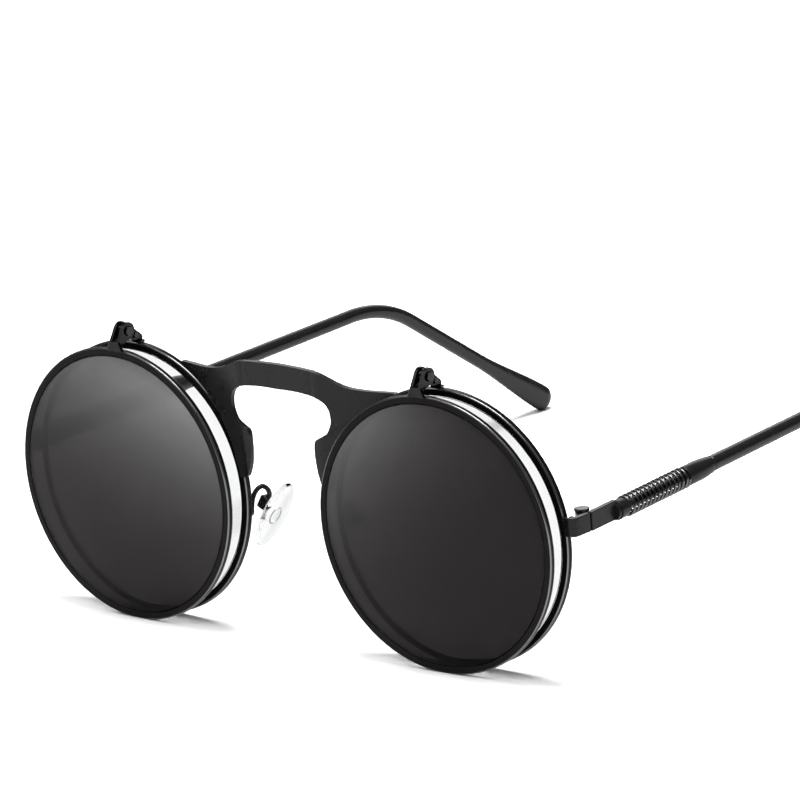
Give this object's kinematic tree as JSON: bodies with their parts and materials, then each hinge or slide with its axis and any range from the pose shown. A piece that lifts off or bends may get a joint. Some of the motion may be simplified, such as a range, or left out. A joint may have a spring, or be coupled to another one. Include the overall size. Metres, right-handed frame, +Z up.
{
  "type": "round flip-up sunglasses",
  "caption": "Round metal sunglasses: dark lenses in rims that flip up over clear lenses, keyhole bridge, rocking nose pads and folding temples with a wound spring.",
  "frame": {"origin": "centre of the bounding box's bottom, on the surface that the rear rims and both temple tips rest on", "axes": "+Z up, the lenses face -Y, the open temples run back along +Y, +X is the wearer's left"},
  "size_m": [0.1328, 0.1524, 0.0568],
  "materials": {
    "black_metal": "satin black plating",
    "dark_steel": "dark plated, polished",
    "dark_glass": "grey tint, glossy",
    "clear_glass": "clear, glossy",
    "clear_silicone": "clear, soft gloss",
    "black_plastic": "satin"
  },
  "bodies": {
    "front": {"bridge": "black_metal", "left_rim": "black_metal", "left_clear_lens": "clear_glass", "left_endpiece": "black_metal", "left_lock_upper": "black_metal", "left_lock_lower": "black_metal", "left_lock_screw": "dark_steel", "left_hinge_block": "black_metal", "left_hinge_screw": "dark_steel", "left_flip_base": "black_metal", "left_flip_stop": "dark_steel", "left_flip_screw": "dark_steel", "left_pad_arm": "black_metal", "left_pad_box": "black_metal", "left_pad_screw": "dark_steel", "right_rim": "black_metal", "right_clear_lens": "clear_glass", "right_endpiece": "black_metal", "right_lock_upper": "black_metal", "right_lock_lower": "black_metal", "right_lock_screw": "dark_steel", "right_hinge_block": "black_metal", "right_hinge_screw": "dark_steel", "right_flip_base": "black_metal", "right_flip_stop": "dark_steel", "right_flip_screw": "dark_steel", "right_pad_arm": "black_metal", "right_pad_box": "black_metal", "right_pad_screw": "dark_steel"},
    "left_pad": {"left_nose_pad": "clear_silicone", "left_pad_insert": "dark_steel"},
    "right_pad": {"right_nose_pad": "clear_silicone", "right_pad_insert": "dark_steel"},
    "left_flip": {"left_flip_rim": "black_metal", "left_dark_lens": "dark_glass", "left_flip_bracket": "black_metal"},
    "right_flip": {"right_flip_rim": "black_metal", "right_dark_lens": "dark_glass", "right_flip_bracket": "black_metal"},
    "left_temple": {"left_temple_plate": "black_metal", "left_front_ferrule": "black_metal", "left_temple_spring": "dark_steel", "left_core_rod": "dark_steel", "left_rear_ferrule": "black_metal", "left_temple_tip": "black_plastic"},
    "right_temple": {"right_temple_plate": "black_metal", "right_front_ferrule": "black_metal", "right_temple_spring": "dark_steel", "right_core_rod": "dark_steel", "right_rear_ferrule": "black_metal", "right_temple_tip": "black_plastic"}
  },
  "joints": [
    {"name": "left_temple_fold", "type": "hinge", "parent": "front", "child": "left_temple", "pos_m": [0.06263, -0.06312, 0.02962], "axis": [0, 0, 1], "range_deg": [0, 87]},
    {"name": "right_temple_fold", "type": "hinge", "parent": "front", "child": "right_temple", "pos_m": [-0.06263, -0.06312, 0.02962], "axis": [0, 0, -1], "range_deg": [0, 78]},
    {"name": "left_flip_lift", "type": "hinge", "parent": "front", "child": "left_flip", "pos_m": [0.03599, -0.07258, 0.05522], "axis": [-0.9993, -0.0384, 0], "range_deg": [0, 95]},
    {"name": "right_flip_lift", "type": "hinge", "parent": "front", "child": "right_flip", "pos_m": [-0.03599, -0.07258, 0.05522], "axis": [-0.9993, 0.0384, 0], "range_deg": [0, 95]},
    {"name": "left_pad_rock", "type": "hinge", "parent": "front", "child": "left_pad", "pos_m": [0.01135, -0.06467, 0.02317], "axis": [0.0617, 0.9903, -0.1248], "range_deg": [-8, 8]},
    {"name": "right_pad_rock", "type": "hinge", "parent": "front", "child": "right_pad", "pos_m": [-0.01135, -0.06467, 0.02317], "axis": [-0.0617, 0.9903, -0.1248], "range_deg": [-8, 8]}
  ]
}
